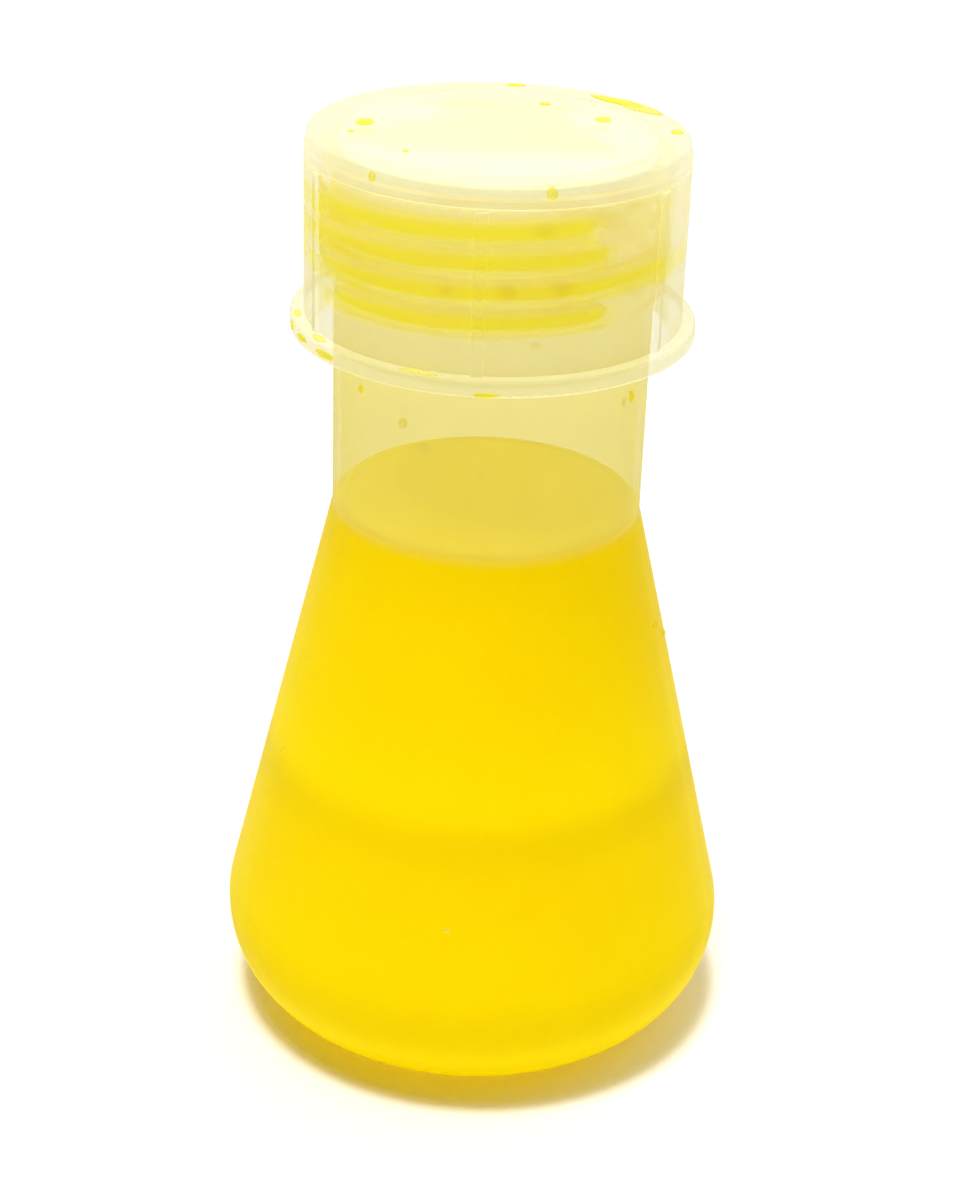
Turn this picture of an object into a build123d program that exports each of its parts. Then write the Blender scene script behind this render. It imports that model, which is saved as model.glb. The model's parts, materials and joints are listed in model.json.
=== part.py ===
from build123d import *

import os
from math import atan2, cos, hypot, radians, sin, tan

# A wide-necked conical flask of translucent polypropylene, closed by a ribbed screw cap with a loose
# sealing disc and filled with liquid up to its shoulder. Millimetres, +Z up, origin on the table under
# the flask's axis. Angles are counted anticlockwise from +X, seen from above; the front is -Y.

# Flask: base, cone, neck and lip
cone_foot_radius = 35.5  # where the cone's line would meet the table
shoulder_height = 69.3  # where the cone's line meets the neck
neck_radius = 18.7
neck_length = 43.2
wall = 1.0
heel_radius = 13.0
shoulder_radius = 1.2
foot_ring_width = 3.5  # the flat ring that the flask stands on
push_up = 1.2  # how far the base rises inside the foot ring
lip_rounding = 0.3

# Screw thread, shared by the neck and the cap
pitch = 3.4
thread_depth = 1.3
ridge_root_width = 1.5
ridge_crest_width = 0.8
thread_gap = 0.5  # from each crest to the wall that it faces
flank_gap = 0.3  # under each ridge of the neck, where the cap pulls up against it
thread_angle = -164.0  # where the neck's ridge starts
neck_turns = 4.0
cap_turns = 3.0
cap_start_turns = 0.5  # how far up the neck's ridge the cap's own ridge starts
ridge_below_lip = 1.9
ramp_angle = 20.0  # each end of a ridge sinks into its wall over this angle
full_turn = 360.0
cutter_length = 1.5  # of the tool that cuts a ramp, in lengths of the ramp
cutter_depth = 3.0  # of the same tool, in depths of the thread

# Sealing disc
disc_thickness = 1.3
disc_clearance = 0.15
disc_inset = 0.3  # from the neck's outer wall in to the disc's edge
disc_chamfer = 0.2

# Cap
cap_height = 23.4
cap_wall = 1.7
top_plate = 1.3
seat_gap = 0.3  # from the lip up to the shoulder that surrounds the disc
flange_width = 1.6
flange_thickness = 2.0
flange_rounding = 0.4
rim_height = 1.3
rim_step = 0.3  # how far the rim stands in from the skirt
rim_rounding = 0.4
groove_height = 0.4
groove_depth = 0.3
land_height = 0.8
panel_inset = 0.2  # from the neck's outer wall in to the edge of the top's sunk middle
panel_depth = 0.3
rib_count = 6
rib_angle = -94.0
rib_width = 1.5
rib_height = 0.4
rib_rounding = 0.3

# Liquid
liquid_above_shoulder = 0.6
liquid_gap = 0.05  # keeps the liquid's face apart from the wall

root_bury = 0.4  # how deep a ridge or rib reaches into the wall that carries it

# Heights and radii that follow from the sizes above
lip_height = shoulder_height + neck_length
cone_run = cone_foot_radius - neck_radius
heel_tangent = heel_radius / tan(atan2(shoulder_height, cone_run) / 2)
foot_inner_radius = cone_foot_radius - heel_tangent - foot_ring_width
bore_radius = neck_radius + thread_depth + thread_gap
skirt_radius = bore_radius + cap_wall
disc_radius = neck_radius - disc_inset
seat_radius = disc_radius + disc_clearance
panel_radius = neck_radius - panel_inset
seat_height = lip_height + disc_thickness
cap_top = seat_height + top_plate
cap_bottom = cap_top - cap_height
flange_top = cap_bottom + flange_thickness
upper_groove = cap_top - rim_height - groove_height
lower_groove = upper_groove - land_height - groove_height
neck_ridge_start = lip_height - ridge_below_lip - neck_turns * pitch
flank_slope = (ridge_root_width - ridge_crest_width) / 2 / thread_depth
ridge_spacing = ridge_root_width - flank_slope * (thread_depth + thread_gap) + flank_gap
cap_ridge_start = neck_ridge_start + cap_start_turns * pitch - ridge_spacing


def vessel_outline(inset, top):
    """Draws half the vessel's section, moved inwards by inset and closed along the axis at height top."""
    slope = cone_run / shoulder_height
    slant = hypot(1, slope)
    corner = (cone_foot_radius - slope * inset - slant * inset, inset)
    shoulder = (neck_radius - inset, (cone_run - (slant - 1) * inset) / slope)
    with BuildLine() as outline:
        bottom = TangentArc((0, push_up + inset), (foot_inner_radius, inset), tangent=(1, 0))
        Polyline(bottom @ 1, corner, shoulder, (shoulder[0], top), (0, top), bottom @ 0)
    make_face(outline.edges())
    fillet(vertices().sort_by_distance(corner)[0], heel_radius - inset)
    fillet(vertices().sort_by_distance(shoulder)[0], shoulder_radius + inset)


def around(radius, angle, height):
    """The point at this radius, angle and height about the flask's axis."""
    return Vector(radius * cos(radians(angle)), radius * sin(radians(angle)), height)


def screw_ridge(wall_radius, crest_radius, start_height, turns, start_angle):
    """One helical ridge that grows from a wall to its crest, with both ends ramped down to the wall."""
    outwards = 1 if crest_radius > wall_radius else -1
    buried_half = ridge_root_width / 2 + flank_slope * root_bury
    crest_half = ridge_crest_width / 2
    root = -outwards * root_bury
    crest = outwards * thread_depth
    with BuildPart() as ridge:
        with BuildLine() as path:
            Helix(pitch, turns * pitch, wall_radius, center=(0, 0, start_height))
        start = path.line @ 0
        with BuildSketch(Plane(start, x_dir=(1, 0, 0), z_dir=path.line % 0)):
            section = [(root, -buried_half), (crest, -crest_half), (crest, crest_half), (root, buried_half)]
            Polygon(*section, align=None)
        sweep(path=path.line, is_frenet=True)
        for end, inward_angle in ((0, ramp_angle), (turns, -ramp_angle)):
            height = start_height + pitch * (end + inward_angle / full_turn / 2)
            foot = around(wall_radius + root / 2, full_turn * end, height)
            top = around(crest_radius, full_turn * end + inward_angle, height)
            away = outwards * (-1 if inward_angle > 0 else 1)
            with BuildSketch(Plane((foot + top) * 0.5, x_dir=top - foot, z_dir=(0, 0, 1))):
                depth_align = Align.MIN if away > 0 else Align.MAX
                length = cutter_length * (top - foot).length
                Rectangle(length, cutter_depth * thread_depth, align=(Align.CENTER, depth_align))
            extrude(amount=buried_half + flank_gap, both=True, mode=Mode.SUBTRACT)
    return ridge.part.rotate(Axis.Z, start_angle)


# The flask in one piece: outer form, less the space inside it, plus the ridge of its thread.
neck_ridge = screw_ridge(neck_radius, neck_radius + thread_depth, neck_ridge_start, neck_turns, thread_angle)

with BuildPart() as flask_body:
    with BuildSketch(Plane.XZ):
        vessel_outline(0, lip_height)
    revolve(axis=Axis.Z)
    with BuildSketch(Plane.XZ):
        vessel_outline(wall, lip_height)
    revolve(axis=Axis.Z, mode=Mode.SUBTRACT)
    fillet(flask_body.edges().group_by(Axis.Z)[-1], lip_rounding)
    add(neck_ridge)

# The liquid fills the flask to just above the shoulder.
with BuildPart() as liquid_fill:
    with BuildSketch(Plane.XZ):
        vessel_outline(wall + liquid_gap, shoulder_height + liquid_above_shoulder)
    revolve(axis=Axis.Z)

# The sealing disc lies loose in the cap and is pressed onto the lip.
with BuildPart(Plane.XY.offset(lip_height)) as sealing_disc:
    Cylinder(disc_radius, disc_thickness, align=(Align.CENTER, Align.CENTER, Align.MIN))
    chamfer(sealing_disc.edges(), disc_chamfer)

# The cap: skirt, flange, top plate with the disc's seat, grip ribs and the ridge of its thread.
cap_thread_angle = thread_angle + full_turn * cap_start_turns
cap_ridge = screw_ridge(bore_radius, bore_radius - thread_depth, cap_ridge_start, cap_turns, cap_thread_angle)

with BuildPart() as screw_cap:
    with BuildSketch(Plane.XZ):
        groove_radius = skirt_radius - groove_depth
        rim_radius = skirt_radius - rim_step
        flange_radius = skirt_radius + flange_width
        with BuildLine():
            Polyline(
                (bore_radius, cap_bottom),
                (flange_radius, cap_bottom),
                (flange_radius, flange_top),
                (skirt_radius, flange_top),
                (skirt_radius, lower_groove),
                (groove_radius, lower_groove + groove_height / 2),
                (skirt_radius, lower_groove + groove_height),
                (skirt_radius, upper_groove),
                (rim_radius, upper_groove + groove_height),
                (rim_radius, cap_top),
                (panel_radius, cap_top),
                (panel_radius - panel_depth, cap_top - panel_depth),
                (0, cap_top - panel_depth),
                (0, seat_height),
                (seat_radius, seat_height),
                (seat_radius, lip_height + seat_gap),
                (bore_radius, lip_height + seat_gap),
                close=True,
            )
        make_face()
        fillet(vertices().sort_by_distance((flange_radius, flange_top))[0], flange_rounding)
        fillet(vertices().sort_by_distance((flange_radius, cap_bottom))[0], flange_rounding)
        fillet(vertices().sort_by_distance((rim_radius, cap_top))[0], rim_rounding)
    revolve(axis=Axis.Z)
    with BuildSketch(Plane.XY.offset(flange_top - flange_rounding)):
        with PolarLocations(skirt_radius - root_bury, rib_count, start_angle=rib_angle):
            rib_align = (Align.MIN, Align.CENTER)
            RectangleRounded(root_bury + rib_height, rib_width, rib_rounding, align=rib_align)
    extrude(amount=lower_groove - flange_top + flange_rounding)
    add(cap_ridge)

os.makedirs("parts", exist_ok=True)
flask_body.part.label = "flask_body"
export_step(flask_body.part, "parts/flask_body.step")
liquid_fill.part.label = "liquid_fill"
export_step(liquid_fill.part, "parts/liquid_fill.step")
sealing_disc.part.label = "sealing_disc"
export_step(sealing_disc.part, "parts/sealing_disc.step")
screw_cap.part.label = "screw_cap"
export_step(screw_cap.part, "parts/screw_cap.step")
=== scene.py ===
"""A wide-necked conical flask of translucent plastic with a ribbed screw cap, full of yellow liquid.

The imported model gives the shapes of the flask, the liquid, the sealing disc and the cap. This script
gives each of them its finish and adds what lies on them and between them: the liquid's rim, the liquid
caught in the screw thread, the drops and smears outside, the bubbles inside, and a plain bright studio.
Lengths are metres in the model's own frame. Azimuths are degrees from the front (-Y) towards +X.
"""

import json
import logging
import math
import random
from collections.abc import Iterable, Sequence
from dataclasses import dataclass
from enum import Enum

import bmesh
import bpy
from mathutils import Matrix, Vector


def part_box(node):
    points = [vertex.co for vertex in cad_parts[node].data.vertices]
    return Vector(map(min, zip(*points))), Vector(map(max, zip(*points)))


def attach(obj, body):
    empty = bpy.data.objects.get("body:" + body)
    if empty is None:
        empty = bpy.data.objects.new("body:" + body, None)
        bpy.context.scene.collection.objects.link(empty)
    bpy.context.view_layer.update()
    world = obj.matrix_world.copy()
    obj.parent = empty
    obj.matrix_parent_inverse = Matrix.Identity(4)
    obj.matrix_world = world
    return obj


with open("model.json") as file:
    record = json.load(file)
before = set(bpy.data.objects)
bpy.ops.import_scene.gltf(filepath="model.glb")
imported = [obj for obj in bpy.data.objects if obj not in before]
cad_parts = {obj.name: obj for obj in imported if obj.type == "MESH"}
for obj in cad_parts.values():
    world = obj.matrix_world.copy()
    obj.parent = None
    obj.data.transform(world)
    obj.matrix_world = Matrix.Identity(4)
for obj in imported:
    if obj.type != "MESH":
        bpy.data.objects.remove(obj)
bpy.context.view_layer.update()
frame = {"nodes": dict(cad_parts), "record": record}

MM = 0.001
FULL_TURN = 360.0
QUARTER_TURN = 90.0

log = logging.getLogger("flask")

Colour = tuple[float, float, float]

WHITE: Colour = (1.0, 1.0, 1.0)
BLACK: Colour = (0.0, 0.0, 0.0)
PLASTIC_IOR = 1.49
LIQUID_IOR = 1.34

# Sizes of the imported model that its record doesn't list.
WALL = 1.0 * MM
LIQUID_GAP = 0.05 * MM
THREAD_ROOM = 1.8 * MM  # from the neck's outer wall out to the cap's bore


def around(radius: float, azimuth: float, height: float) -> Vector:
    """The point at this radius, azimuth and height about the flask's axis."""
    angle = math.radians(azimuth)
    return Vector((radius * math.sin(angle), -radius * math.cos(angle), height))


# Shaders


class Wire:
    """A value that runs through a shader, which sums, products and powers can be written with."""

    def __init__(self, shader: "Shader", socket: bpy.types.NodeSocket) -> None:
        """Keeps the socket and the shader that it belongs to.

        Args:
            shader: the shader that new nodes are added to.
            socket: the output that this wire starts from.
        """
        self.shader = shader
        self.socket = socket

    def joined(self, operation: str, first: "Number", second: "Number") -> "Wire":
        """Adds a Math node.

        Args:
            operation: the node's operation.
            first: its first value.
            second: its second value.

        Returns:
            The wire from its result.
        """
        return self.shader.wire("ShaderNodeMath", {"operation": operation}, {0: first, 1: second})

    def __add__(self, other: "Number") -> "Wire":
        """This value plus another."""
        return self.joined("ADD", self, other)

    def __radd__(self, other: "Number") -> "Wire":
        """Another value plus this one."""
        return self.joined("ADD", other, self)

    def __sub__(self, other: "Number") -> "Wire":
        """This value less another."""
        return self.joined("SUBTRACT", self, other)

    def __rsub__(self, other: "Number") -> "Wire":
        """Another value less this one."""
        return self.joined("SUBTRACT", other, self)

    def __mul__(self, other: "Number") -> "Wire":
        """This value times another."""
        return self.joined("MULTIPLY", self, other)

    def __rmul__(self, other: "Number") -> "Wire":
        """Another value times this one."""
        return self.joined("MULTIPLY", other, self)

    def __truediv__(self, other: "Number") -> "Wire":
        """This value divided by another."""
        return self.joined("DIVIDE", self, other)

    def __pow__(self, power: float) -> "Wire":
        """This value to a power."""
        return self.joined("POWER", self, power)


Number = Wire | float
Value = Wire | float | Colour | bpy.types.NodeSocket


class Shader:
    """The nodes of one material, or of the world, added one at a time."""

    def __init__(self, owner: bpy.types.Material | bpy.types.World) -> None:
        """Starts with no nodes but the one for places.

        Args:
            owner: the material or world that the nodes belong to.
        """
        self.owner = owner
        owner.use_nodes = True
        self.tree = owner.node_tree
        self.tree.nodes.clear()
        places = self.node("ShaderNodeTexCoord")
        self.place = places.outputs["Object"]
        self.direction = places.outputs["Generated"]

    @classmethod
    def named(cls, name: str) -> "Shader":
        """The shader of a new material of this name."""
        return cls(bpy.data.materials.new(name))

    def node(
        self,
        kind: str,
        settings: dict[str, object] | None = None,
        values: dict[str | int, Value] | None = None,
    ) -> bpy.types.Node:
        """Adds a node.

        Args:
            kind: the node's type.
            settings: its properties, which are set first.
            values: what its inputs hold or are linked to, by name or number.

        Returns:
            The new node.
        """
        new = self.tree.nodes.new(kind)
        for name, setting in (settings or {}).items():
            setattr(new, name, setting)
        for name, value in (values or {}).items():
            self.feed(new.inputs[name], value)
        return new

    def feed(self, socket: bpy.types.NodeSocket, value: Value) -> None:
        """Links or sets an input.

        Args:
            socket: the input.
            value: a wire or socket to link, or a number or colour to set.
        """
        if isinstance(value, Wire):
            self.tree.links.new(value.socket, socket)
        elif isinstance(value, bpy.types.NodeSocket):
            self.tree.links.new(value, socket)
        elif isinstance(value, tuple) and len(socket.default_value) > len(value):
            socket.default_value = (*value, 1.0)
        else:
            socket.default_value = value

    def wire(
        self,
        kind: str,
        settings: dict[str, object] | None = None,
        values: dict[str | int, Value] | None = None,
        output: str | int = 0,
    ) -> Wire:
        """Adds a node and takes one of its outputs as a wire.

        Args:
            kind: the node's type.
            settings: its properties, which are set first.
            values: what its inputs hold or are linked to, by name or number.
            output: the output's name or number.

        Returns:
            The wire from that output.
        """
        return Wire(self, self.node(kind, settings, values).outputs[output])

    def height(self) -> Wire:
        """The height above the table of the point that is shaded."""
        return self.wire("ShaderNodeSeparateXYZ", values={0: self.place}, output="Z")

    def radius(self) -> Wire:
        """Measures how far the point that is shaded is from the flask's axis.

        Returns:
            The wire that carries the distance.
        """
        levelled = {0: self.place, 1: (1.0, 1.0, 0.0)}
        flat = self.wire("ShaderNodeVectorMath", {"operation": "MULTIPLY"}, levelled)
        return self.wire("ShaderNodeVectorMath", {"operation": "LENGTH"}, {0: flat}, output="Value")

    def towards(self, vector: Value, direction: Sequence[float]) -> Wire:
        """How far a vector reaches along a direction."""
        values = {0: vector, 1: tuple(direction)}
        return self.wire("ShaderNodeVectorMath", {"operation": "DOT_PRODUCT"}, values, output="Value")

    def turn_from(self, azimuth: float) -> Wire:
        """Measures the angle in degrees, either way, from an azimuth to the point that is shaded.

        Args:
            azimuth: where the angle is 0.

        Returns:
            The wire that carries the angle.
        """
        ahead = self.towards(self.place, around(1.0, azimuth, 0.0))
        aside = self.towards(self.place, around(1.0, azimuth + QUARTER_TURN, 0.0))
        return aside.joined("ARCTAN2", aside, ahead) * math.degrees(1.0)

    def noise(self, scale: float, detail: float = 2.0, stretch: Sequence[float] = (1.0, 1.0, 1.0)) -> Wire:
        """Soft random variation from 0 to 1.

        Args:
            scale: blotches per metre.
            detail: how many finer layers are added.
            stretch: how much denser it is along each axis.

        Returns:
            The wire that carries it.
        """
        stretched = self.wire("ShaderNodeMapping", values={"Vector": self.place, "Scale": tuple(stretch)})
        values = {"Vector": stretched, "Scale": scale, "Detail": detail}
        return self.wire("ShaderNodeTexNoise", {"noise_dimensions": "3D"}, values)

    def between(self, value: Number, low: float, high: float, smooth: bool = True) -> Wire:
        """How far a value has come from low to high, from 0 to 1.

        Args:
            value: the value.
            low: where the result starts to leave 0.
            high: where it reaches 1.
            smooth: whether it eases in and out.

        Returns:
            The wire that carries it.
        """
        kind = "SMOOTHSTEP" if smooth else "LINEAR"
        values = {"Value": value, "From Min": low, "From Max": high}
        return self.wire("ShaderNodeMapRange", {"interpolation_type": kind}, values)

    def blend(self, share: Number, first: Value, second: Value, way: str = "MIX") -> Wire:
        """Mixes two colours.

        Args:
            share: how much of the second shows.
            first: the colour at 0.
            second: the colour at 1.
            way: the node's blend type.

        Returns:
            The wire that carries the mix.
        """
        settings = {"data_type": "RGBA", "blend_type": way}
        return self.wire("ShaderNodeMix", settings, {0: share, 6: first, 7: second}, output=2)

    def bump(self, relief: Wire, depth: float) -> Wire:
        """Turns a relief into a change of the surface's normal.

        Args:
            relief: the height, from 0 to 1.
            depth: how deep a relief of 1 is.

        Returns:
            The wire for a Normal input.
        """
        return self.wire("ShaderNodeBump", values={"Distance": depth, "Height": relief})

    def mixed(self, share: Number, first: bpy.types.Node, second: bpy.types.Node) -> bpy.types.Node:
        """Mixes two surfaces.

        Args:
            share: how much of the second shows.
            first: the surface at 0.
            second: the surface at 1.

        Returns:
            The node that gives the mix.
        """
        return self.node("ShaderNodeMixShader", values={0: share, 1: first.outputs[0], 2: second.outputs[0]})

    def finish(self, surface: bpy.types.Node) -> bpy.types.Material | bpy.types.World:
        """Ends the shader.

        Args:
            surface: the node that gives the surface or the surroundings.

        Returns:
            The finished material or world.
        """
        kind = "World" if isinstance(self.owner, bpy.types.World) else "Material"
        self.node(f"ShaderNodeOutput{kind}", values={"Surface": surface.outputs[0]})
        return self.owner


# Finishes


@dataclass(frozen=True)
class Band:
    """A colour that a wall has at one height, with the share of light that it stops face on and edge on."""

    height: float
    colour: Colour
    density: float
    edge: float = 0.3


@dataclass(frozen=True)
class Stretch:
    """A stretch of the screw thread's groove that holds liquid: its azimuths, and the groove's height.

    It stains a wall fully within the distance full_reach, and no further than reach. The stain fades out
    along the groove from fade_before degrees before each end to fade_after beyond it.
    """

    start: float
    end: float
    groove: int
    low: float
    pitch: float
    full_reach: float = 0.7 * MM
    reach: float = 1.9 * MM
    fade_before: float = 7.0
    fade_after: float = 2.0

    def height(self, azimuth: float) -> float:
        """The height of the groove's middle at an azimuth."""
        return self.low + self.pitch * (self.groove + azimuth / FULL_TURN)

    def stain(self, shader: "Shader") -> Wire:
        """How strongly the liquid here colours a wall next to it, from 0 to 1.

        Args:
            shader: the wall's shader.

        Returns:
            The wire that carries it.
        """
        middle = (self.start + self.end) / 2
        turn = shader.turn_from(middle)
        above = shader.height() - turn * (self.pitch / FULL_TURN) - self.height(middle)
        off_middle = above.joined("ABSOLUTE", above, 0.0)
        either_way = turn.joined("ABSOLUTE", turn, 0.0)
        half = (self.end - self.start) / 2
        beside = 1.0 - shader.between(off_middle, self.full_reach, self.reach)
        along = 1.0 - shader.between(either_way, half - self.fade_before, half + self.fade_after)
        return beside * along


@dataclass(frozen=True)
class MilkyPlastic:
    """Translucent plastic: a satin skin over a wall that scatters the light of what is behind it.

    Faces within inner_radius of the axis and below inner_top are the wall's inner side, which stops only
    inner_share of what the outer side stops. In its shadow the wall stops only shadow_share. passed_on is
    the share of what it stops that it scatters on to the other side.
    """

    name: str
    bands: tuple[Band, ...]
    inner_radius: float
    inner_top: float
    inner_share: float
    roughness: float
    shadow_share: float
    tint: Colour
    stretches: tuple[Stretch, ...] = ()
    stain: Colour = WHITE
    stain_share: float = 0.9
    stain_density: float = 0.12
    passed_on: float = 0.5
    gloss: float = 0.25
    side_step: float = 0.2 * MM
    cloud_scale: float = 70.0
    cloud_whitening: float = 0.12
    cloud_density: float = 0.06
    cloud_roughness: float = 0.12
    flow_scale: float = 45.0
    flow_stretch: tuple[float, float, float] = (3.0, 3.0, 0.6)
    flow_density: float = 0.03
    grain_scale: float = 1500.0
    grain_depth: float = 0.004 * MM

    def up_the_wall(self, shader: Shader) -> tuple[Value, Number, Number]:
        """Follows the bands up the wall and adds the stains of the liquid next to it.

        Args:
            shader: the wall's shader.

        Returns:
            The colour, and the shares of light that are stopped face on and edge on.
        """
        height = shader.height()
        first = self.bands[0]
        colour: Value = first.colour
        density: Number = first.density
        edge_density: Number = first.edge
        for lower, upper in zip(self.bands, self.bands[1:]):
            share = shader.between(height, lower.height, upper.height)
            colour = shader.blend(share, colour, upper.colour)
            density = density + share * (upper.density - lower.density)
            edge_density = edge_density + share * (upper.edge - lower.edge)
        for stretch in self.stretches:
            stained = stretch.stain(shader)
            colour = shader.blend(stained * self.stain_share, colour, self.stain)
            density = density + stained * self.stain_density
        return colour, density, edge_density

    def outer_side(self, shader: Shader) -> Wire:
        """Tells the wall's outer side from its inner side.

        Args:
            shader: the wall's shader.

        Returns:
            The wire that carries 1 on the outer side and 0 on the inner side.
        """
        outside = shader.between(shader.radius(), self.inner_radius, self.inner_radius + self.side_step)
        above = shader.between(shader.height(), self.inner_top, self.inner_top + self.side_step)
        return outside.joined("MAXIMUM", outside, above)

    def material(self) -> bpy.types.Material:
        """Builds the material: bands of colour up the wall, cloudy density, moulded grain and flow.

        Returns:
            The material.
        """
        shader = Shader.named(self.name)
        colour, density, edge_density = self.up_the_wall(shader)
        outer = self.outer_side(shader)
        cloud = shader.noise(self.cloud_scale, detail=3.0)
        flow = shader.noise(self.flow_scale, stretch=self.flow_stretch)
        grain = shader.noise(self.grain_scale, detail=3.0)
        whitened = shader.between(cloud, 0.35, 0.75) * self.cloud_whitening
        colour = shader.blend(whitened, colour, WHITE, "SOFT_LIGHT")
        density = density + (cloud - 0.5) * self.cloud_density + (flow - 0.5) * self.flow_density
        density = density * (self.inner_share + outer * (1.0 - self.inner_share))
        edge = shader.wire("ShaderNodeLayerWeight", values={"Blend": 0.35}, output="Facing")
        density = density + edge**2.0 * edge_density * outer
        in_shadow = shader.wire("ShaderNodeLightPath", output="Is Shadow Ray")
        stopped = density * (1.0 - in_shadow * (1.0 - self.shadow_share))
        skin = {
            "Base Color": colour,
            "Roughness": self.roughness + (cloud - 0.5) * self.cloud_roughness,
            "IOR": PLASTIC_IOR,
            "Specular IOR Level": self.gloss,
            "Normal": shader.bump(grain, self.grain_depth),
        }
        front = shader.node("ShaderNodeBsdfPrincipled", values=skin)
        behind = shader.node("ShaderNodeBsdfTranslucent", values={"Color": colour})
        clear = shader.node("ShaderNodeBsdfTransparent", values={"Color": self.tint})
        return shader.finish(shader.mixed(stopped, clear, shader.mixed(self.passed_on, front, behind)))


@dataclass(frozen=True)
class ColouredLiquid:
    """A strongly dyed liquid: bright all through, painted darker where little light comes in, and lit
    from behind.

    Its colour is painted darkest, as shade, below one height and brightest, as painted light, at a higher
    one, and fades again over fade_length times the distance between them. glow is the share of its light
    that comes through from the other side, and its emission is a painted glow.
    """

    name: str
    low: Colour
    bright: Colour
    top: Colour
    shade_height: float
    lit_height: float
    surface_height: float
    glow: float
    painted_glow: float
    stained_light: Colour
    fade_length: float = 2.2
    surface_depth: float = 0.3 * MM
    drift_scale: float = 28.0
    drift_stretch: tuple[float, float, float] = (1.0, 1.0, 2.2)
    drift_depth: float = 0.1 * MM
    roughness: float = 0.16
    gloss: float = 0.1

    def material(self) -> bpy.types.Material:
        """Builds the material: its colour by height with painted shade and light, a painted glow, a smooth
        skin, and the light that it lets through.

        Returns:
            The material.
        """
        shader = Shader.named(self.name)
        height = shader.height()
        drift = shader.noise(self.drift_scale, stretch=self.drift_stretch)
        # painted shade and painted light: darker below one height, brighter at the next, fading back above
        # it
        faded_height = self.lit_height + self.fade_length * (self.lit_height - self.shade_height)
        lit = shader.between(height, self.shade_height, self.lit_height)
        faded = shader.between(height, self.lit_height, faded_height)
        colour = shader.blend(lit * (1.0 - faded) * (0.75 + 0.5 * drift), self.low, self.bright)
        at_surface = shader.between(height, self.surface_height - self.surface_depth, self.surface_height)
        colour = shader.blend(at_surface, colour, self.top)
        skin = {
            "Base Color": colour,
            "Roughness": self.roughness + 0.1 * drift,
            "IOR": LIQUID_IOR,
            "Specular IOR Level": self.gloss,
            # painted glow: the liquid gives off a little light of its own colour
            "Emission Color": colour,
            "Emission Strength": self.painted_glow,
            "Normal": shader.bump(drift, self.drift_depth),
        }
        front = shader.node("ShaderNodeBsdfPrincipled", values=skin)
        inside = shader.node("ShaderNodeBsdfTranslucent", values={"Color": colour})
        body = shader.mixed(self.glow, front, inside)
        stained = shader.node("ShaderNodeBsdfTransparent", values={"Color": self.stained_light})
        in_shadow = shader.wire("ShaderNodeLightPath", output="Is Shadow Ray")
        return shader.finish(shader.mixed(in_shadow, body, stained))


@dataclass(frozen=True)
class WetFilm:
    """A thin layer or drop of the liquid: glossy, partly clear, and thicker in some places than others."""

    name: str
    thin: Colour
    thick: Colour
    density: float
    roughness: float = 0.08
    passed_on: float = 0.2
    shadow_share: float = 0.2
    edge_density: float = 0.15
    blotches: float = 420.0
    blotch_share: float = 0.18
    ripples: float = 900.0
    ripple_roughness: float = 0.06
    ripple_depth: float = 0.03 * MM

    def material(self) -> bpy.types.Material:
        """Builds the material: blotches of depth that change both colour and density.

        Returns:
            The material.
        """
        shader = Shader.named(self.name)
        depth = shader.between(shader.noise(self.blotches, detail=3.0), 0.3, 0.7)
        ripple = shader.noise(self.ripples)
        in_shadow = shader.wire("ShaderNodeLightPath", output="Is Shadow Ray")
        edge = shader.wire("ShaderNodeLayerWeight", values={"Blend": 0.4}, output="Facing")
        blotched = 1.0 - self.blotch_share + self.blotch_share * depth
        density = self.density * blotched + edge**3.0 * self.edge_density
        stopped = density * (1.0 - in_shadow * (1.0 - self.shadow_share))
        colour = shader.blend(depth, self.thin, self.thick)
        skin = {
            "Base Color": colour,
            "Roughness": self.roughness + self.ripple_roughness * ripple,
            "IOR": LIQUID_IOR,
            "Normal": shader.bump(ripple, self.ripple_depth),
        }
        front = shader.node("ShaderNodeBsdfPrincipled", values=skin)
        behind = shader.node("ShaderNodeBsdfTranslucent", values={"Color": colour})
        clear = shader.node("ShaderNodeBsdfTransparent", values={"Color": self.thin})
        return shader.finish(shader.mixed(stopped, clear, shader.mixed(self.passed_on, front, behind)))


@dataclass(frozen=True)
class ChalkyPlastic:
    """The soft white plastic of the sealing disc: matt, faintly mottled."""

    name: str
    pale: Colour
    warm: Colour
    mottle_scale: float = 160.0
    roughness: float = 0.5
    grain_scale: float = 2200.0
    grain_roughness: float = 0.15
    grain_depth: float = 0.03 * MM

    def material(self) -> bpy.types.Material:
        """Builds the material: warm mottling and a fine pressed grain.

        Returns:
            The material.
        """
        shader = Shader.named(self.name)
        mottle = shader.between(shader.noise(self.mottle_scale, detail=3.0), 0.35, 0.7)
        grain = shader.noise(self.grain_scale)
        skin = {
            "Base Color": shader.blend(mottle, self.pale, self.warm),
            "Roughness": self.roughness + self.grain_roughness * grain,
            "Normal": shader.bump(grain, self.grain_depth),
        }
        return shader.finish(shader.node("ShaderNodeBsdfPrincipled", values=skin))


# Shapes


def add_piece(name: str, form: bmesh.types.BMesh, finish: bpy.types.Material, body: str) -> None:
    """Turns a form into a piece of the object.

    Args:
        name: the piece's name.
        form: its shape, which is used up.
        finish: its material.
        body: the body that it moves with.
    """
    bmesh.ops.recalc_face_normals(form, faces=form.faces)
    mesh = bpy.data.meshes.new(name)
    form.to_mesh(mesh)
    form.free()
    mesh.shade_smooth()
    mesh.materials.append(finish)
    piece = bpy.data.objects.new(name, mesh)
    bpy.context.scene.collection.objects.link(piece)
    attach(piece, body)
    log.info("%s: %d faces, rides on %s", name, len(mesh.polygons), body)


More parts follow.
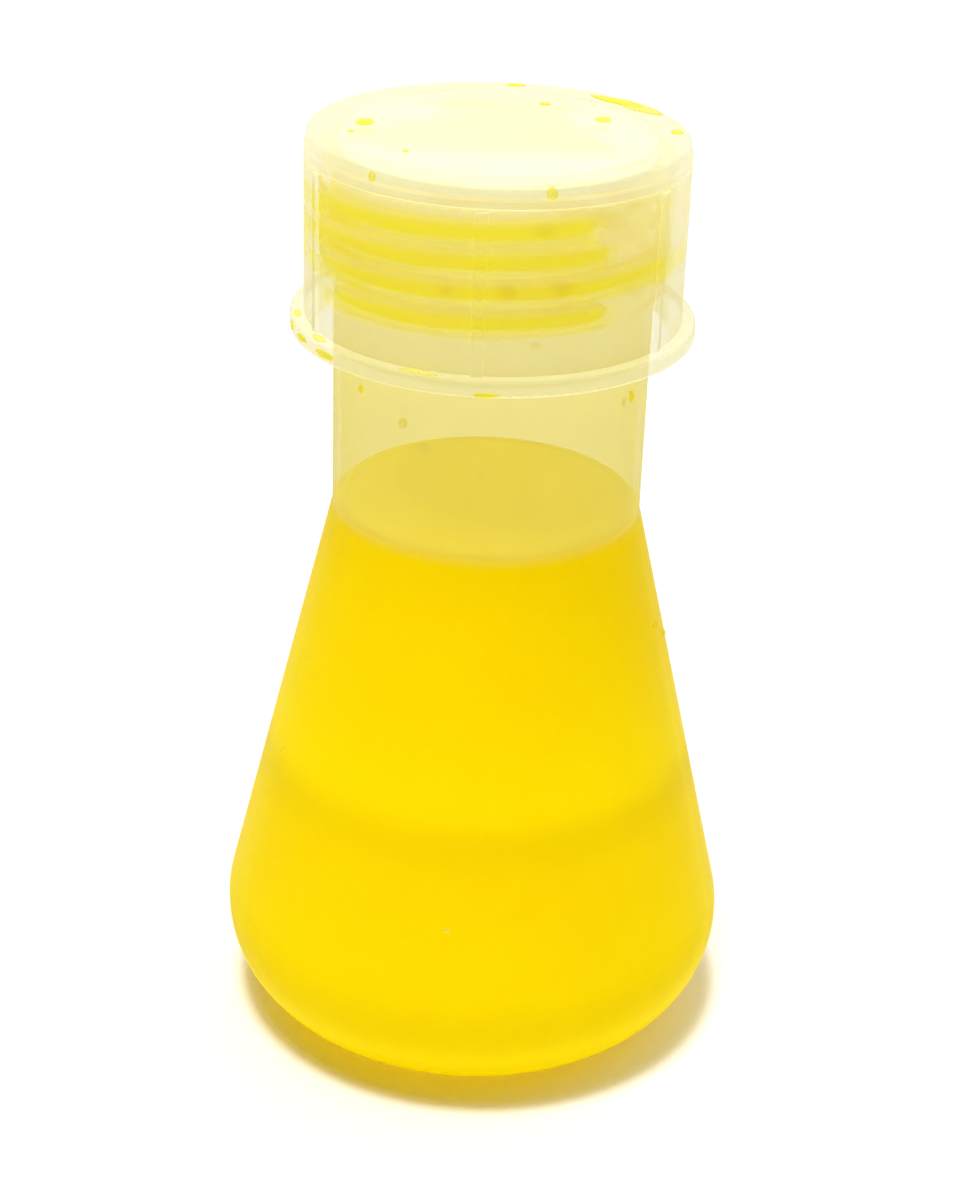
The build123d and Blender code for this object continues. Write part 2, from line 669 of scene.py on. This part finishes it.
def dress(node: str, finish: bpy.types.Material) -> None:
    """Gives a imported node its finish, with its shading kept as it was packed.

    Args:
        node: the node's name.
        finish: its material.
    """
    mesh = frame["nodes"][node].data
    mesh.materials.clear()
    mesh.materials.append(finish)
    log.info("%s: dressed in %s", node, finish.name)


def bridge(form: bmesh.types.BMesh, rings: Sequence[Sequence[bmesh.types.BMVert]], closed: bool) -> None:
    """Joins rings of points into a skin.

    Args:
        form: the shape that the faces are added to.
        rings: rings of as many points each, one after another.
        closed: whether the last ring joins the first; otherwise both ends are capped.
    """
    pairs = list(zip(rings, rings[1:]))
    if closed:
        pairs.append((rings[-1], rings[0]))
    for ring, following in pairs:
        for index in range(len(ring)):
            after = (index + 1) % len(ring)
            form.faces.new((ring[index], ring[after], following[after], following[index]))
    if not closed:
        form.faces.new(rings[0])
        form.faces.new(rings[-1])


class Profile(Enum):
    """How a drop's surface rises from its edge."""

    DOME = "dome"
    SHEET = "sheet"
    CRATER = "crater"

    def rise(self, share: float) -> float:
        """How high the surface is at a place on the drop.

        Args:
            share: how far out the place is, from 0 in the middle to 1 at the edge.

        Returns:
            The height, from 0 to 1.
        """
        if self is Profile.DOME:
            return math.sqrt(1.0 - share**2)
        if self is Profile.SHEET:
            return math.sqrt(1.0 - share**6)
        rim, rim_width = 0.8, 0.17
        return math.exp(-(((share - rim) / rim_width) ** 2)) if share < 1.0 else 0.0


@dataclass(frozen=True)
class Blot:
    """A drop, smear or bubble: where it lies and how large it is, in millimetres and degrees."""

    azimuth: float
    place: float
    length: float
    width: float
    turn: float = 0.0
    rise: float = 0.3
    ragged: float = 0.1
    profile: Profile = Profile.DOME


@dataclass(frozen=True)
class FlatTop:
    """A level face, on which a blot's place is its distance from the axis."""

    level: float

    def point(self, blot: Blot, along: float, across: float, rise: float) -> Vector:
        """Finds a point of a blot on this surface.

        Args:
            blot: the blot.
            along: how far sideways from its middle the point is, in metres.
            across: how far outwards or up from its middle the point is, in metres.
            rise: how far off the surface the point is, in metres.

        Returns:
            The point.
        """
        middle = around(blot.place * MM, blot.azimuth, self.level + rise)
        sideways = around(1.0, blot.azimuth + QUARTER_TURN, 0.0)
        outwards = around(1.0, blot.azimuth, 0.0)
        return middle + along * sideways + across * outwards


@dataclass(frozen=True)
class RoundWall:
    """A wall about the axis, on which a blot's place is its height."""

    radius: float
    from_height: float = 0.0
    taper: float = 0.0
    facing: int = 1

    def point(self, blot: Blot, along: float, across: float, rise: float) -> Vector:
        """Finds a point of a blot on this surface.

        Args:
            blot: the blot.
            along: how far sideways from its middle the point is, in metres.
            across: how far outwards or up from its middle the point is, in metres.
            rise: how far off the surface the point is, in metres.

        Returns:
            The point.
        """
        height = blot.place * MM + across
        radius = self.radius - self.taper * (height - self.from_height)
        azimuth = blot.azimuth + math.degrees(along / radius)
        return around(radius + self.facing * rise, azimuth, height)


@dataclass(frozen=True)
class Outline:
    """The ragged outline of a blot, which waves swell and shrink on the way round."""

    blot: Blot
    waves: tuple[tuple[int, float, float], ...]

    @classmethod
    def drawn(cls, blot: Blot, luck: random.Random) -> "Outline":
        """Draws the outline of a blot: the phase and size of 2, 3 and 5 waves round it."""
        orders = (2, 3, 5)
        return cls(blot, tuple((n, luck.uniform(0, math.tau), luck.uniform(0.4, 1.0) / n) for n in orders))

    def offset(self, share: float, angle: float) -> tuple[float, float]:
        """Finds a point of the blot on flat ground.

        Args:
            share: how far out the point is, from 0 in the middle to 1 at the edge.
            angle: how far round it is, in radians.

        Returns:
            How far along and across it lies from the blot's middle, in metres.
        """
        wave = sum(size * math.sin(order * angle + phase) for order, phase, size in self.waves)
        swell = 1.0 + self.blot.ragged * wave
        long = self.blot.length / 2 * MM * share * swell * math.cos(angle)
        wide = self.blot.width / 2 * MM * share * swell * math.sin(angle)
        turn = math.radians(self.blot.turn)
        return long * math.cos(turn) - wide * math.sin(turn), long * math.sin(turn) + wide * math.cos(turn)


def add_blot(form: bmesh.types.BMesh, outline: Outline, ground: FlatTop | RoundWall) -> None:
    """Adds one drop as a closed lens.

    Args:
        form: the shape that it is added to.
        outline: its outline.
        ground: the surface under it.
    """
    steps, shares = 28, (0.3, 0.55, 0.72, 0.84, 0.93, 1.0)
    blot = outline.blot
    high = blot.rise * MM
    crown = form.verts.new(ground.point(blot, 0.0, 0.0, high * blot.profile.rise(0.0)))
    rings = []
    for share in shares:
        rise = high * blot.profile.rise(share)
        offsets = [outline.offset(share, math.tau * step / steps) for step in range(steps)]
        rings.append([form.verts.new(ground.point(blot, along, across, rise)) for along, across in offsets])
    for step in range(steps):
        form.faces.new((crown, rings[0][step], rings[0][(step + 1) % steps]))
    for ring, following in zip(rings, rings[1:]):
        for step in range(steps):
            after = (step + 1) % steps
            form.faces.new((ring[step], following[step], following[after], ring[after]))
    form.faces.new(rings[-1])


def spread(blots: Iterable[Blot], ground: FlatTop | RoundWall, seed: int) -> bmesh.types.BMesh:
    """Shapes drops that lie on one surface.

    Args:
        blots: the drops.
        ground: the surface under them.
        seed: which ragged outlines they get.

    Returns:
        Closed lens shapes, one for each drop.
    """
    luck = random.Random(seed)
    form = bmesh.new()
    for blot in blots:
        add_blot(form, Outline.drawn(blot, luck), ground)
    return form


def turned(section: Sequence[tuple[float, float]], steps: int = 144) -> bmesh.types.BMesh:
    """Turns a closed section once round the axis.

    Args:
        section: its corners as radius and height.
        steps: how many copies of it make the ring.

    Returns:
        The ring.
    """
    form = bmesh.new()
    rings = [
        [form.verts.new(around(radius, FULL_TURN * step / steps, height)) for radius, height in section]
        for step in range(steps)
    ]
    bridge(form, rings, closed=True)
    return form


# The object


@dataclass(frozen=True)
class Sizes:
    """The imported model's own sizes that the other pieces are set out from.

    neck_radius is the neck's outer radius, and liquid_neck the liquid's radius inside it.
    """

    neck_radius: float
    lip: float
    liquid_top: float
    liquid_neck: float
    cap_bore: float
    cap_bottom: float
    cap_top: float
    flange_radius: float
    pitch: float

    @classmethod
    def read(cls) -> "Sizes":
        """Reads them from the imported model.

        Returns:
            The sizes.
        """
        record = frame["record"]
        grip = next(mount for mount in record["mounts"] if mount["name"] == "neck_grip")
        turn_per_lift = record["behaviour"]["couplings"][0]["ratio"]
        neck_radius = grip["dims"]["r_mm"] * MM
        cap_low, cap_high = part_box("screw_cap")
        return cls(
            neck_radius=neck_radius,
            lip=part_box("flask_body")[1].z,
            liquid_top=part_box("liquid_fill")[1].z,
            liquid_neck=neck_radius - WALL - LIQUID_GAP,
            cap_bore=neck_radius + THREAD_ROOM,
            cap_bottom=cap_low.z,
            cap_top=cap_high.z,
            flange_radius=cap_high.x,
            pitch=math.tau / turn_per_lift,
        )


# Finishes of this object. Colours are linear.
GOLD: Colour = (1.0, 0.89, 0.001)
# Painted shade and painted light: the darker and the brighter gold, with the heights where they are set,
# give the liquid and the wall in front of it bands of shade and light by height.
PAINTED_SHADE_GOLD: Colour = (0.95, 0.85, 0.001)
PAINTED_LIGHT_GOLD: Colour = (1.0, 0.91, 0.001)
PAINTED_SHADE_HEIGHT = 35.5 * MM
PAINTED_LIGHT_HEIGHT = 39.5 * MM
# The plastic's own pale tint with painted yellow light from the liquid in it, strongest in the straws.
CREAM: Colour = (0.98, 0.95, 0.58)
STRAW: Colour = (0.93, 0.88, 0.36)
PALE_STRAW: Colour = (0.90, 0.89, 0.66)
LEMON: Colour = (1.0, 0.96, 0.05)
THIN_LEMON: Colour = (1.0, 0.96, 0.24)
IVORY: Colour = (0.97, 0.965, 0.78)


@dataclass(frozen=True)
class Flask:
    """The flask's wall, with the liquid that has run down outside it and the bubbles inside its neck.

    cone_foot is the radius at which the cone's line would meet the table, and shoulder the neck's foot.
    """

    sizes: Sizes
    cone_foot: float = 35.5 * MM
    shoulder: float = 69.3 * MM

    def wall_finish(self) -> bpy.types.Material:
        """Paints the liquid's light into the wall: golden where the liquid backs it, in bands of painted
        shade and light, straw-coloured above, paler towards the lip.

        Returns:
            The wall's material.
        """
        level = self.sizes.liquid_top
        # painted light and shade: the wall takes the liquid's gold, brighter and darker by height
        backed = (
            (0.0, PAINTED_LIGHT_GOLD),
            (18.0 * MM, PAINTED_LIGHT_GOLD),
            (30.0 * MM, GOLD),
            (PAINTED_SHADE_HEIGHT, PAINTED_SHADE_GOLD),
            (PAINTED_LIGHT_HEIGHT, PAINTED_LIGHT_GOLD),
            (46.0 * MM, PAINTED_LIGHT_GOLD),
            (54.0 * MM, GOLD),
            (level - 1.6 * MM, GOLD),
        )
        # the plastic's own pale tint with painted yellow light from the liquid, fading towards the lip
        above = (
            Band(level + 0.4 * MM, STRAW, 0.37, 0.7),
            Band(self.sizes.cap_bottom, STRAW, 0.37, 0.7),
            Band(self.sizes.cap_bottom + 3.0 * MM, CREAM, 0.2, 0.3),
            Band(self.sizes.lip, CREAM, 0.18, 0.2),
        )
        bands = tuple(Band(height, colour, 0.42, 1.5) for height, colour in backed) + above
        return MilkyPlastic(
            "flask_wall",
            bands,
            inner_radius=self.sizes.neck_radius - 0.6 * WALL,
            inner_top=self.sizes.lip,
            inner_share=0.5,
            roughness=0.35,
            shadow_share=0.5,
            tint=(0.99, 0.97, 0.84),
            gloss=0.04,
        ).material()

    def build(self) -> None:
        """Dresses the wall and adds its drops and bubbles."""
        dress("flask_body", self.wall_finish())
        outside = WetFilm("drop_outside", (1.0, 0.95, 0.1), LEMON, 0.5).material()
        neck = RoundWall(self.sizes.neck_radius)
        neck_drops = (
            Blot(60.5, 86.9, 0.9, 1.4, rise=0.35),
            Blot(-52.0, 87.5, 0.7, 1.1, rise=0.25),
            Blot(118.0, 79.0, 0.8, 1.2, rise=0.3),
            Blot(204.0, 84.0, 0.7, 1.0, rise=0.3),
        )
        add_piece("neck_drops", spread(neck_drops, neck, 11), outside, "flask")
        inner = RoundWall(self.sizes.neck_radius - WALL, facing=-1)
        bubbles = (
            Blot(-33.8, 84.8, 1.2, 1.2, rise=0.35, ragged=0.03, profile=Profile.CRATER),
            Blot(-24.6, 82.3, 1.6, 1.6, rise=0.4, ragged=0.03, profile=Profile.CRATER),
            Blot(-2.0, 79.8, 1.1, 0.9, rise=0.25, ragged=0.06, profile=Profile.CRATER),
            Blot(38.0, 78.8, 0.7, 0.6, rise=0.2, ragged=0.06, profile=Profile.CRATER),
            Blot(162.0, 83.0, 1.2, 1.1, rise=0.3, ragged=0.05, profile=Profile.CRATER),
        )
        ring = WetFilm("bubble_ring", (1.0, 0.97, 0.65), (0.95, 0.87, 0.3), 0.35).material()
        add_piece("neck_bubbles", spread(bubbles, inner, 12), ring, "flask")
        self.body_drops(outside)

    def body_drops(self, finish: bpy.types.Material) -> None:
        """Adds the few drops that cling to the cone.

        Args:
            finish: the drops' material.
        """
        cone = RoundWall(self.cone_foot, 0.0, (self.cone_foot - self.sizes.neck_radius) / self.shoulder)
        drops = (
            Blot(-67.0, 38.8, 0.7, 0.8, rise=0.2),
            Blot(-5.5, 25.7, 1.2, 0.8, rise=0.12),
            Blot(74.6, 55.8, 1.1, 0.7, turn=25.0, rise=0.3),
            Blot(84.3, 53.0, 1.3, 0.8, turn=-20.0, rise=0.35),
            Blot(151.0, 47.0, 0.9, 1.1, rise=0.3),
            Blot(231.0, 33.0, 0.8, 1.2, rise=0.3),
        )
        add_piece("body_drops", spread(drops, cone, 13), finish, "flask")


@dataclass(frozen=True)
class Liquid:
    """The liquid inside the flask, with the rim where it climbs the wall."""

    sizes: Sizes
    rim_height: float = 0.2 * MM
    rim_width: float = 0.7 * MM
    rim_sink: float = 0.05 * MM

    def build(self) -> None:
        """Dresses the liquid and adds its rim."""
        finish = ColouredLiquid(
            "yellow_liquid",
            # painted shade and painted light in the golds by height, and a painted glow of the liquid's own
            # colour
            low=PAINTED_SHADE_GOLD,
            bright=PAINTED_LIGHT_GOLD,
            top=(0.98, 0.93, 0.004),
            shade_height=PAINTED_SHADE_HEIGHT,
            lit_height=PAINTED_LIGHT_HEIGHT,
            surface_height=self.sizes.liquid_top,
            glow=0.35,
            painted_glow=0.14,
            stained_light=(0.60, 0.55, 0.001),
        ).material()
        dress("liquid_fill", finish)
        add_piece("liquid_rim", turned(self.rim_section()), finish, "flask")

    def rim_section(self) -> list[tuple[float, float]]:
        """Draws the rim's section: high at the wall and curving down to the liquid's level.

        Returns:
            Its corners as radius and height.
        """
        wall = self.sizes.liquid_neck
        level = self.sizes.liquid_top
        curve_start = 0.9 * self.rim_height
        section = [(wall, level - self.rim_sink), (wall, level + self.rim_height)]
        for share in (0.2, 0.4, 0.6, 0.8, 1.0):
            section.append((wall - self.rim_width * share, level + curve_start * (1.0 - share) ** 2))
        return section


def thread_stretches(sizes: Sizes) -> tuple[Stretch, ...]:
    """Sets out the stretches of the thread's groove that hold liquid: in front, and shorter ones behind.

    Args:
        sizes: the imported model's sizes.

    Returns:
        The stretches, lowest groove first in front, then behind.
    """
    ridge_below_lip, ridge_turns, ridge_start = 1.9 * MM, 4.0, -74.0
    low = sizes.lip - ridge_below_lip - sizes.pitch * (ridge_turns + ridge_start / FULL_TURN - 0.5)
    front = ((0, -62.0, 38.0), (1, -118.0, 80.0), (2, -96.0, 38.0), (3, -92.0, 33.0))
    behind = ((0, 128.0, 205.0), (1, 120.0, 216.0), (2, 140.0, 196.0))
    return tuple(Stretch(start, end, groove, low, sizes.pitch) for groove, start, end in front + behind)


@dataclass(frozen=True)
class ThreadLiquid:
    """Liquid held in the screw thread's groove, as a thin layer on one of the walls.

    The layer's step along the groove and the length of its rounded ends are in degrees.
    """

    stretches: tuple[Stretch, ...]
    name: str
    body: str
    inner_radius: float
    thickness: float
    width: float
    density: float
    step: float = 2.5
    end_length: float = 5.0
    wave_length: float = 9.0
    least_fullness: float = 0.08

    def section(self, fullness: float) -> list[tuple[float, float]]:
        """The layer's section, rounded at its edges.

        Args:
            fullness: how full the groove is, from 0 to 1.

        Returns:
            Corners as distance from the layer's inner face and height from the groove's middle.
        """
        half = self.width / 2 * fullness
        thick = self.thickness * (0.5 + 0.5 * fullness)
        return [
            (0.0, -0.92 * half),
            (thick * 0.5, -half),
            (thick, -0.8 * half),
            (thick * 1.05, 0.0),
            (thick, 0.8 * half),
            (thick * 0.5, half),
            (0.0, 0.92 * half),
        ]

    def strip(self, form: bmesh.types.BMesh, stretch: Stretch, luck: random.Random) -> None:
        """Adds one stretch of liquid with rounded ends.

        Args:
            form: the shape that it is added to.
            stretch: where it lies.
            luck: the source of its unevenness.
        """
        length = stretch.end - stretch.start
        count = max(8, round(length / self.step))
        phase = luck.uniform(0, math.tau)
        rings = []
        for index in range(count + 1):
            azimuth = stretch.start + length * index / count
            from_end = min(azimuth - stretch.start, stretch.end - azimuth) / self.end_length
            fullness = math.sqrt(1.0 - (1.0 - min(1.0, from_end)) ** 2)
            unevenness = 0.95 + 0.05 * math.sin(azimuth / self.wave_length + phase)
            fullness = max(fullness, self.least_fullness) * unevenness
            middle = stretch.height(azimuth)
            ring = [
                form.verts.new(around(self.inner_radius + out, azimuth, middle + up))
                for out, up in self.section(fullness)
            ]
            rings.append(ring)
        bridge(form, rings, closed=False)

    def build(self) -> None:
        """Adds all the stretches as one piece."""
        luck = random.Random(5)
        form = bmesh.new()
        for stretch in self.stretches:
            self.strip(form, stretch, luck)
        finish = WetFilm(self.name, THIN_LEMON, LEMON, self.density, blotches=220.0).material()
        add_piece(self.name, form, finish, self.body)

    def add_bubbles(self) -> None:
        """Adds the bubbles caught in the liquid."""
        skin = RoundWall(self.inner_radius + self.thickness)
        lengthening = 1.15
        caught = []
        for groove, azimuth, size in ((1, -14.7, 1.1), (1, 4.2, 1.6), (1, 21.2, 1.9), (3, 14.8, 1.7)):
            height = self.stretches[groove].height(azimuth) / MM
            bubble = Blot(azimuth, height, size * lengthening, size, 0.0, 0.2, 0.05, Profile.CRATER)
            caught.append(bubble)
        ring = WetFilm("thread_bubble", (0.97, 0.9, 0.1), (0.9, 0.8, 0.05), 0.4).material()
        add_piece("thread_bubbles", spread(caught, skin, 6), ring, self.body)


@dataclass(frozen=True)
class Cap:
    """The screw cap and its sealing disc, with the liquid spilt on the cap."""

    sizes: Sizes
    panel_sink: float = 0.3 * MM
    rim_radius: float = 21.9 * MM
    flange_thickness: float = 2.0 * MM

    def wall_finish(self) -> bpy.types.Material:
        """Makes the cap's wall straw-coloured low down, with painted yellow light from the liquid, and
        nearly white at the top.

        Returns:
            The wall's material.
        """
        top = self.sizes.cap_top
        bands = (
            Band(self.sizes.cap_bottom, PALE_STRAW, 0.42),
            Band(top - 4.0 * MM, CREAM, 0.42),
            Band(top - 2.0 * MM, IVORY, 0.55),
            Band(top, IVORY, 0.55),
        )
        return MilkyPlastic(
            "cap_wall",
            bands,
            inner_radius=self.sizes.cap_bore + 0.2 * MM,
            inner_top=top - 2.0 * self.panel_sink,
            inner_share=0.4,
            roughness=0.24,
            shadow_share=0.4,
            tint=(0.99, 0.98, 0.92),
            stretches=thread_stretches(self.sizes),
            stain=LEMON,
        ).material()

    def build(self) -> None:
        """Dresses the cap and disc and adds the drops and smears."""
        dress("screw_cap", self.wall_finish())
        disc = ChalkyPlastic("sealing_disc", pale=(0.96, 0.95, 0.86), warm=(0.95, 0.93, 0.78)).material()
        dress("sealing_disc", disc)
        drop = WetFilm("cap_drop", THIN_LEMON, LEMON, 0.5).material()
        smear = WetFilm("cap_smear", (1.0, 0.98, 0.5), THIN_LEMON, 0.3, blotches=260.0).material()
        panel = FlatTop(self.sizes.cap_top - self.panel_sink)
        rim = FlatTop(self.sizes.cap_top)
        panel_drops = (
            Blot(-98.8, 15.6, 2.8, 2.2, rise=0.25),
            Blot(158.0, 14.2, 1.4, 1.3, rise=0.15),
            Blot(120.0, 13.9, 2.3, 2.0, turn=28.0, rise=0.2),
            Blot(-49.0, 13.6, 0.8, 0.8, rise=0.15),
            Blot(-84.0, 16.9, 0.9, 0.8, rise=0.15),
        )
        add_piece("panel_drops", spread(panel_drops, panel, 21), drop, "cap")
        rim_drops = (
            Blot(136.0, 19.9, 7.6, 1.9, turn=-7.0, rise=0.25, ragged=0.14),
            Blot(94.5, 20.4, 1.8, 1.4, rise=0.2),
            Blot(175.0, 20.4, 2.4, 1.4, rise=0.12),
        )
        add_piece("rim_drops", spread(rim_drops, rim, 22), drop, "cap")
        rim_smears = (Blot(127.0, 20.2, 9.0, 2.6, turn=-4.0, rise=0.1, profile=Profile.SHEET, ragged=0.2),)
        add_piece("rim_smears", spread(rim_smears, rim, 23), smear, "cap")
        self.side_drops(drop, smear)

    def side_drops(self, drop: bpy.types.Material, smear: bpy.types.Material) -> None:
        """Adds the drops that hang over the rim and the wet stretches on the flange.

        Args:
            drop: the drops' material.
            smear: the smears' material.
        """
        top = self.sizes.cap_top / MM
        side = RoundWall(self.rim_radius)
        hanging = (
            Blot(15.5, top - 1.1, 1.3, 1.9, rise=0.15, ragged=0.12),
            Blot(-38.0, top - 0.9, 0.9, 1.3, rise=0.1, ragged=0.2),
        )
        add_piece("side_drops", spread(hanging, side, 24), smear, "cap")
        flange = RoundWall(self.sizes.flange_radius)
        low = self.sizes.cap_bottom / MM
        wet = (
            Blot(-76.0, low + 1.2, 1.6, 1.3, rise=0.2),
            Blot(-66.0, low + 1.1, 3.0, 0.9, rise=0.2, ragged=0.2),
            Blot(-52.0, low + 1.0, 3.4, 1.0, rise=0.2, ragged=0.2),
            Blot(-1.0, low + 0.4, 3.0, 0.5, rise=0.1, ragged=0.2),
        )
        add_piece("flange_drops", spread(wet, flange, 25), drop, "cap")
        ledge = FlatTop(self.sizes.cap_bottom + self.flange_thickness)
        pooled = (
            Blot(-80.0, 23.0, 2.4, 0.9, rise=0.2, ragged=0.2, profile=Profile.SHEET),
            Blot(-58.0, 23.0, 2.8, 1.0, rise=0.2, ragged=0.2, profile=Profile.SHEET),
            Blot(-20.0, 23.0, 4.6, 0.8, rise=0.15, ragged=0.2, profile=Profile.SHEET),
        )
        add_piece("ledge_smears", spread(pooled, ledge, 26), smear, "cap")


# The studio


@dataclass(frozen=True)
class Studio:
    """A white floor and surroundings, one soft lamp overhead, and the camera.

    The surroundings light the object from sky_low to sky_high, rising towards bright_side from where the
    cosine of the angle to it is bright_from. Angles are in degrees.
    """

    sky_low: float = 0.01
    sky_high: float = 0.84
    bright_side: tuple[float, float, float] = (0.28, 0.52, 0.81)
    bright_from: float = 0.25
    sun: float = 0.79
    floor_white: float = 0.99
    floor_mottle: float = 0.01
    floor_lift: float = 0.01
    floor_span: float = 6.0
    sun_width: float = 12.0
    sun_lean: tuple[float, float] = (7.0, -5.0)
    eye: tuple[float, float, float] = (0.0, -0.2697, 0.1892)
    look_down: float = 26.38
    roll: float = 2.045
    lens: float = 72.5

    def floor(self) -> None:
        """Adds the floor, which the camera sees as white wherever it is not in shadow."""
        form = bmesh.new()
        bmesh.ops.create_grid(form, x_segments=8, y_segments=8, size=self.floor_span / 2)
        mesh = bpy.data.meshes.new("floor")
        form.to_mesh(mesh)
        form.free()
        shader = Shader.named("floor")
        white = self.floor_white
        darker = white - self.floor_mottle
        tint = shader.blend(shader.noise(6.0), (white, white, white), (darker, darker, darker))
        seen = shader.wire("ShaderNodeLightPath", output="Is Camera Ray")
        skin = {
            "Base Color": tint,
            "Roughness": 0.9,
            "Specular IOR Level": 0.0,
            "Emission Color": shader.blend(seen, BLACK, WHITE),
            "Emission Strength": self.floor_lift,
        }
        mesh.materials.append(shader.finish(shader.node("ShaderNodeBsdfPrincipled", values=skin)))
        floor = bpy.data.objects.new("floor", mesh)
        bpy.context.scene.collection.objects.link(floor)

    def surroundings(self) -> None:
        """Sets the even light from all round, seen as white in reflections and behind the object."""
        shader = Shader(bpy.data.worlds.new("surroundings"))
        bpy.context.scene.world = shader.owner
        rays = shader.node("ShaderNodeLightPath").outputs
        mirrored = Wire(shader, rays["Is Glossy Ray"])
        mirrored = mirrored.joined("MAXIMUM", mirrored, Wire(shader, rays["Is Transmission Ray"]))
        seen = mirrored.joined("MAXIMUM", mirrored, Wire(shader, rays["Is Camera Ray"]))
        bright = shader.between(shader.towards(shader.direction, self.bright_side), self.bright_from, 1.0)
        light = self.sky_low + bright * (self.sky_high - self.sky_low)
        glow = {"Color": WHITE, "Strength": light * (1.0 - seen) + seen}
        shader.finish(shader.node("ShaderNodeBackground", values=glow))

    def lamp(self) -> None:
        """Adds the soft lamp nearly overhead, leaning a little to the left and the front."""
        lamp = bpy.data.lights.new("overhead", "SUN")
        lamp.energy = self.sun * math.pi
        lamp.angle = math.radians(self.sun_width)
        placed = bpy.data.objects.new("overhead", lamp)
        to_front, to_left = self.sun_lean
        placed.rotation_euler = (math.radians(to_front), math.radians(to_left), 0.0)
        placed.location = (0.0, 0.0, 1.0)
        bpy.context.scene.collection.objects.link(placed)

    def camera(self) -> None:
        """Adds the camera, in front and above, with its slight roll."""
        camera = bpy.data.cameras.new("camera")
        camera.lens = self.lens
        placed = bpy.data.objects.new("camera", camera)
        tilt = Matrix.Rotation(math.radians(QUARTER_TURN - self.look_down), 4, "X")
        roll = Matrix.Rotation(math.radians(self.roll), 4, "Z")
        placed.matrix_world = Matrix.Translation(self.eye) @ tilt @ roll
        bpy.context.scene.collection.objects.link(placed)
        bpy.context.scene.camera = placed

    def build(self) -> None:
        """Adds the whole studio and sets how the picture is developed."""
        self.floor()
        self.surroundings()
        self.lamp()
        self.camera()
        scene = bpy.context.scene
        scene.view_settings.view_transform = "Standard"
        scene.cycles.transparent_max_bounces = 48
        scene.cycles.max_bounces = 12
        scene.cycles.diffuse_bounces = 6


def main() -> None:
    """Builds the liquid, the flask, what its thread holds, the cap and the studio."""
    logging.basicConfig(level=logging.INFO, format="%(name)s %(message)s")
    sizes = Sizes.read()
    Liquid(sizes).build()
    Flask(sizes).build()
    wet = thread_stretches(sizes)
    on_neck = ThreadLiquid(
        wet,
        name="neck_film",
        body="flask",
        inner_radius=sizes.neck_radius + 0.02 * MM,
        thickness=0.3 * MM,
        width=1.8 * MM,
        density=0.35,
    )
    on_neck.build()
    in_cap = ThreadLiquid(
        wet,
        name="thread_liquid",
        body="cap",
        inner_radius=sizes.cap_bore - 0.25 * MM,
        thickness=0.2 * MM,
        width=2.2 * MM,
        density=0.6,
    )
    in_cap.build()
    in_cap.add_bubbles()
    Cap(sizes).build()
    Studio().build()


if __name__ == "__main__":
    main()
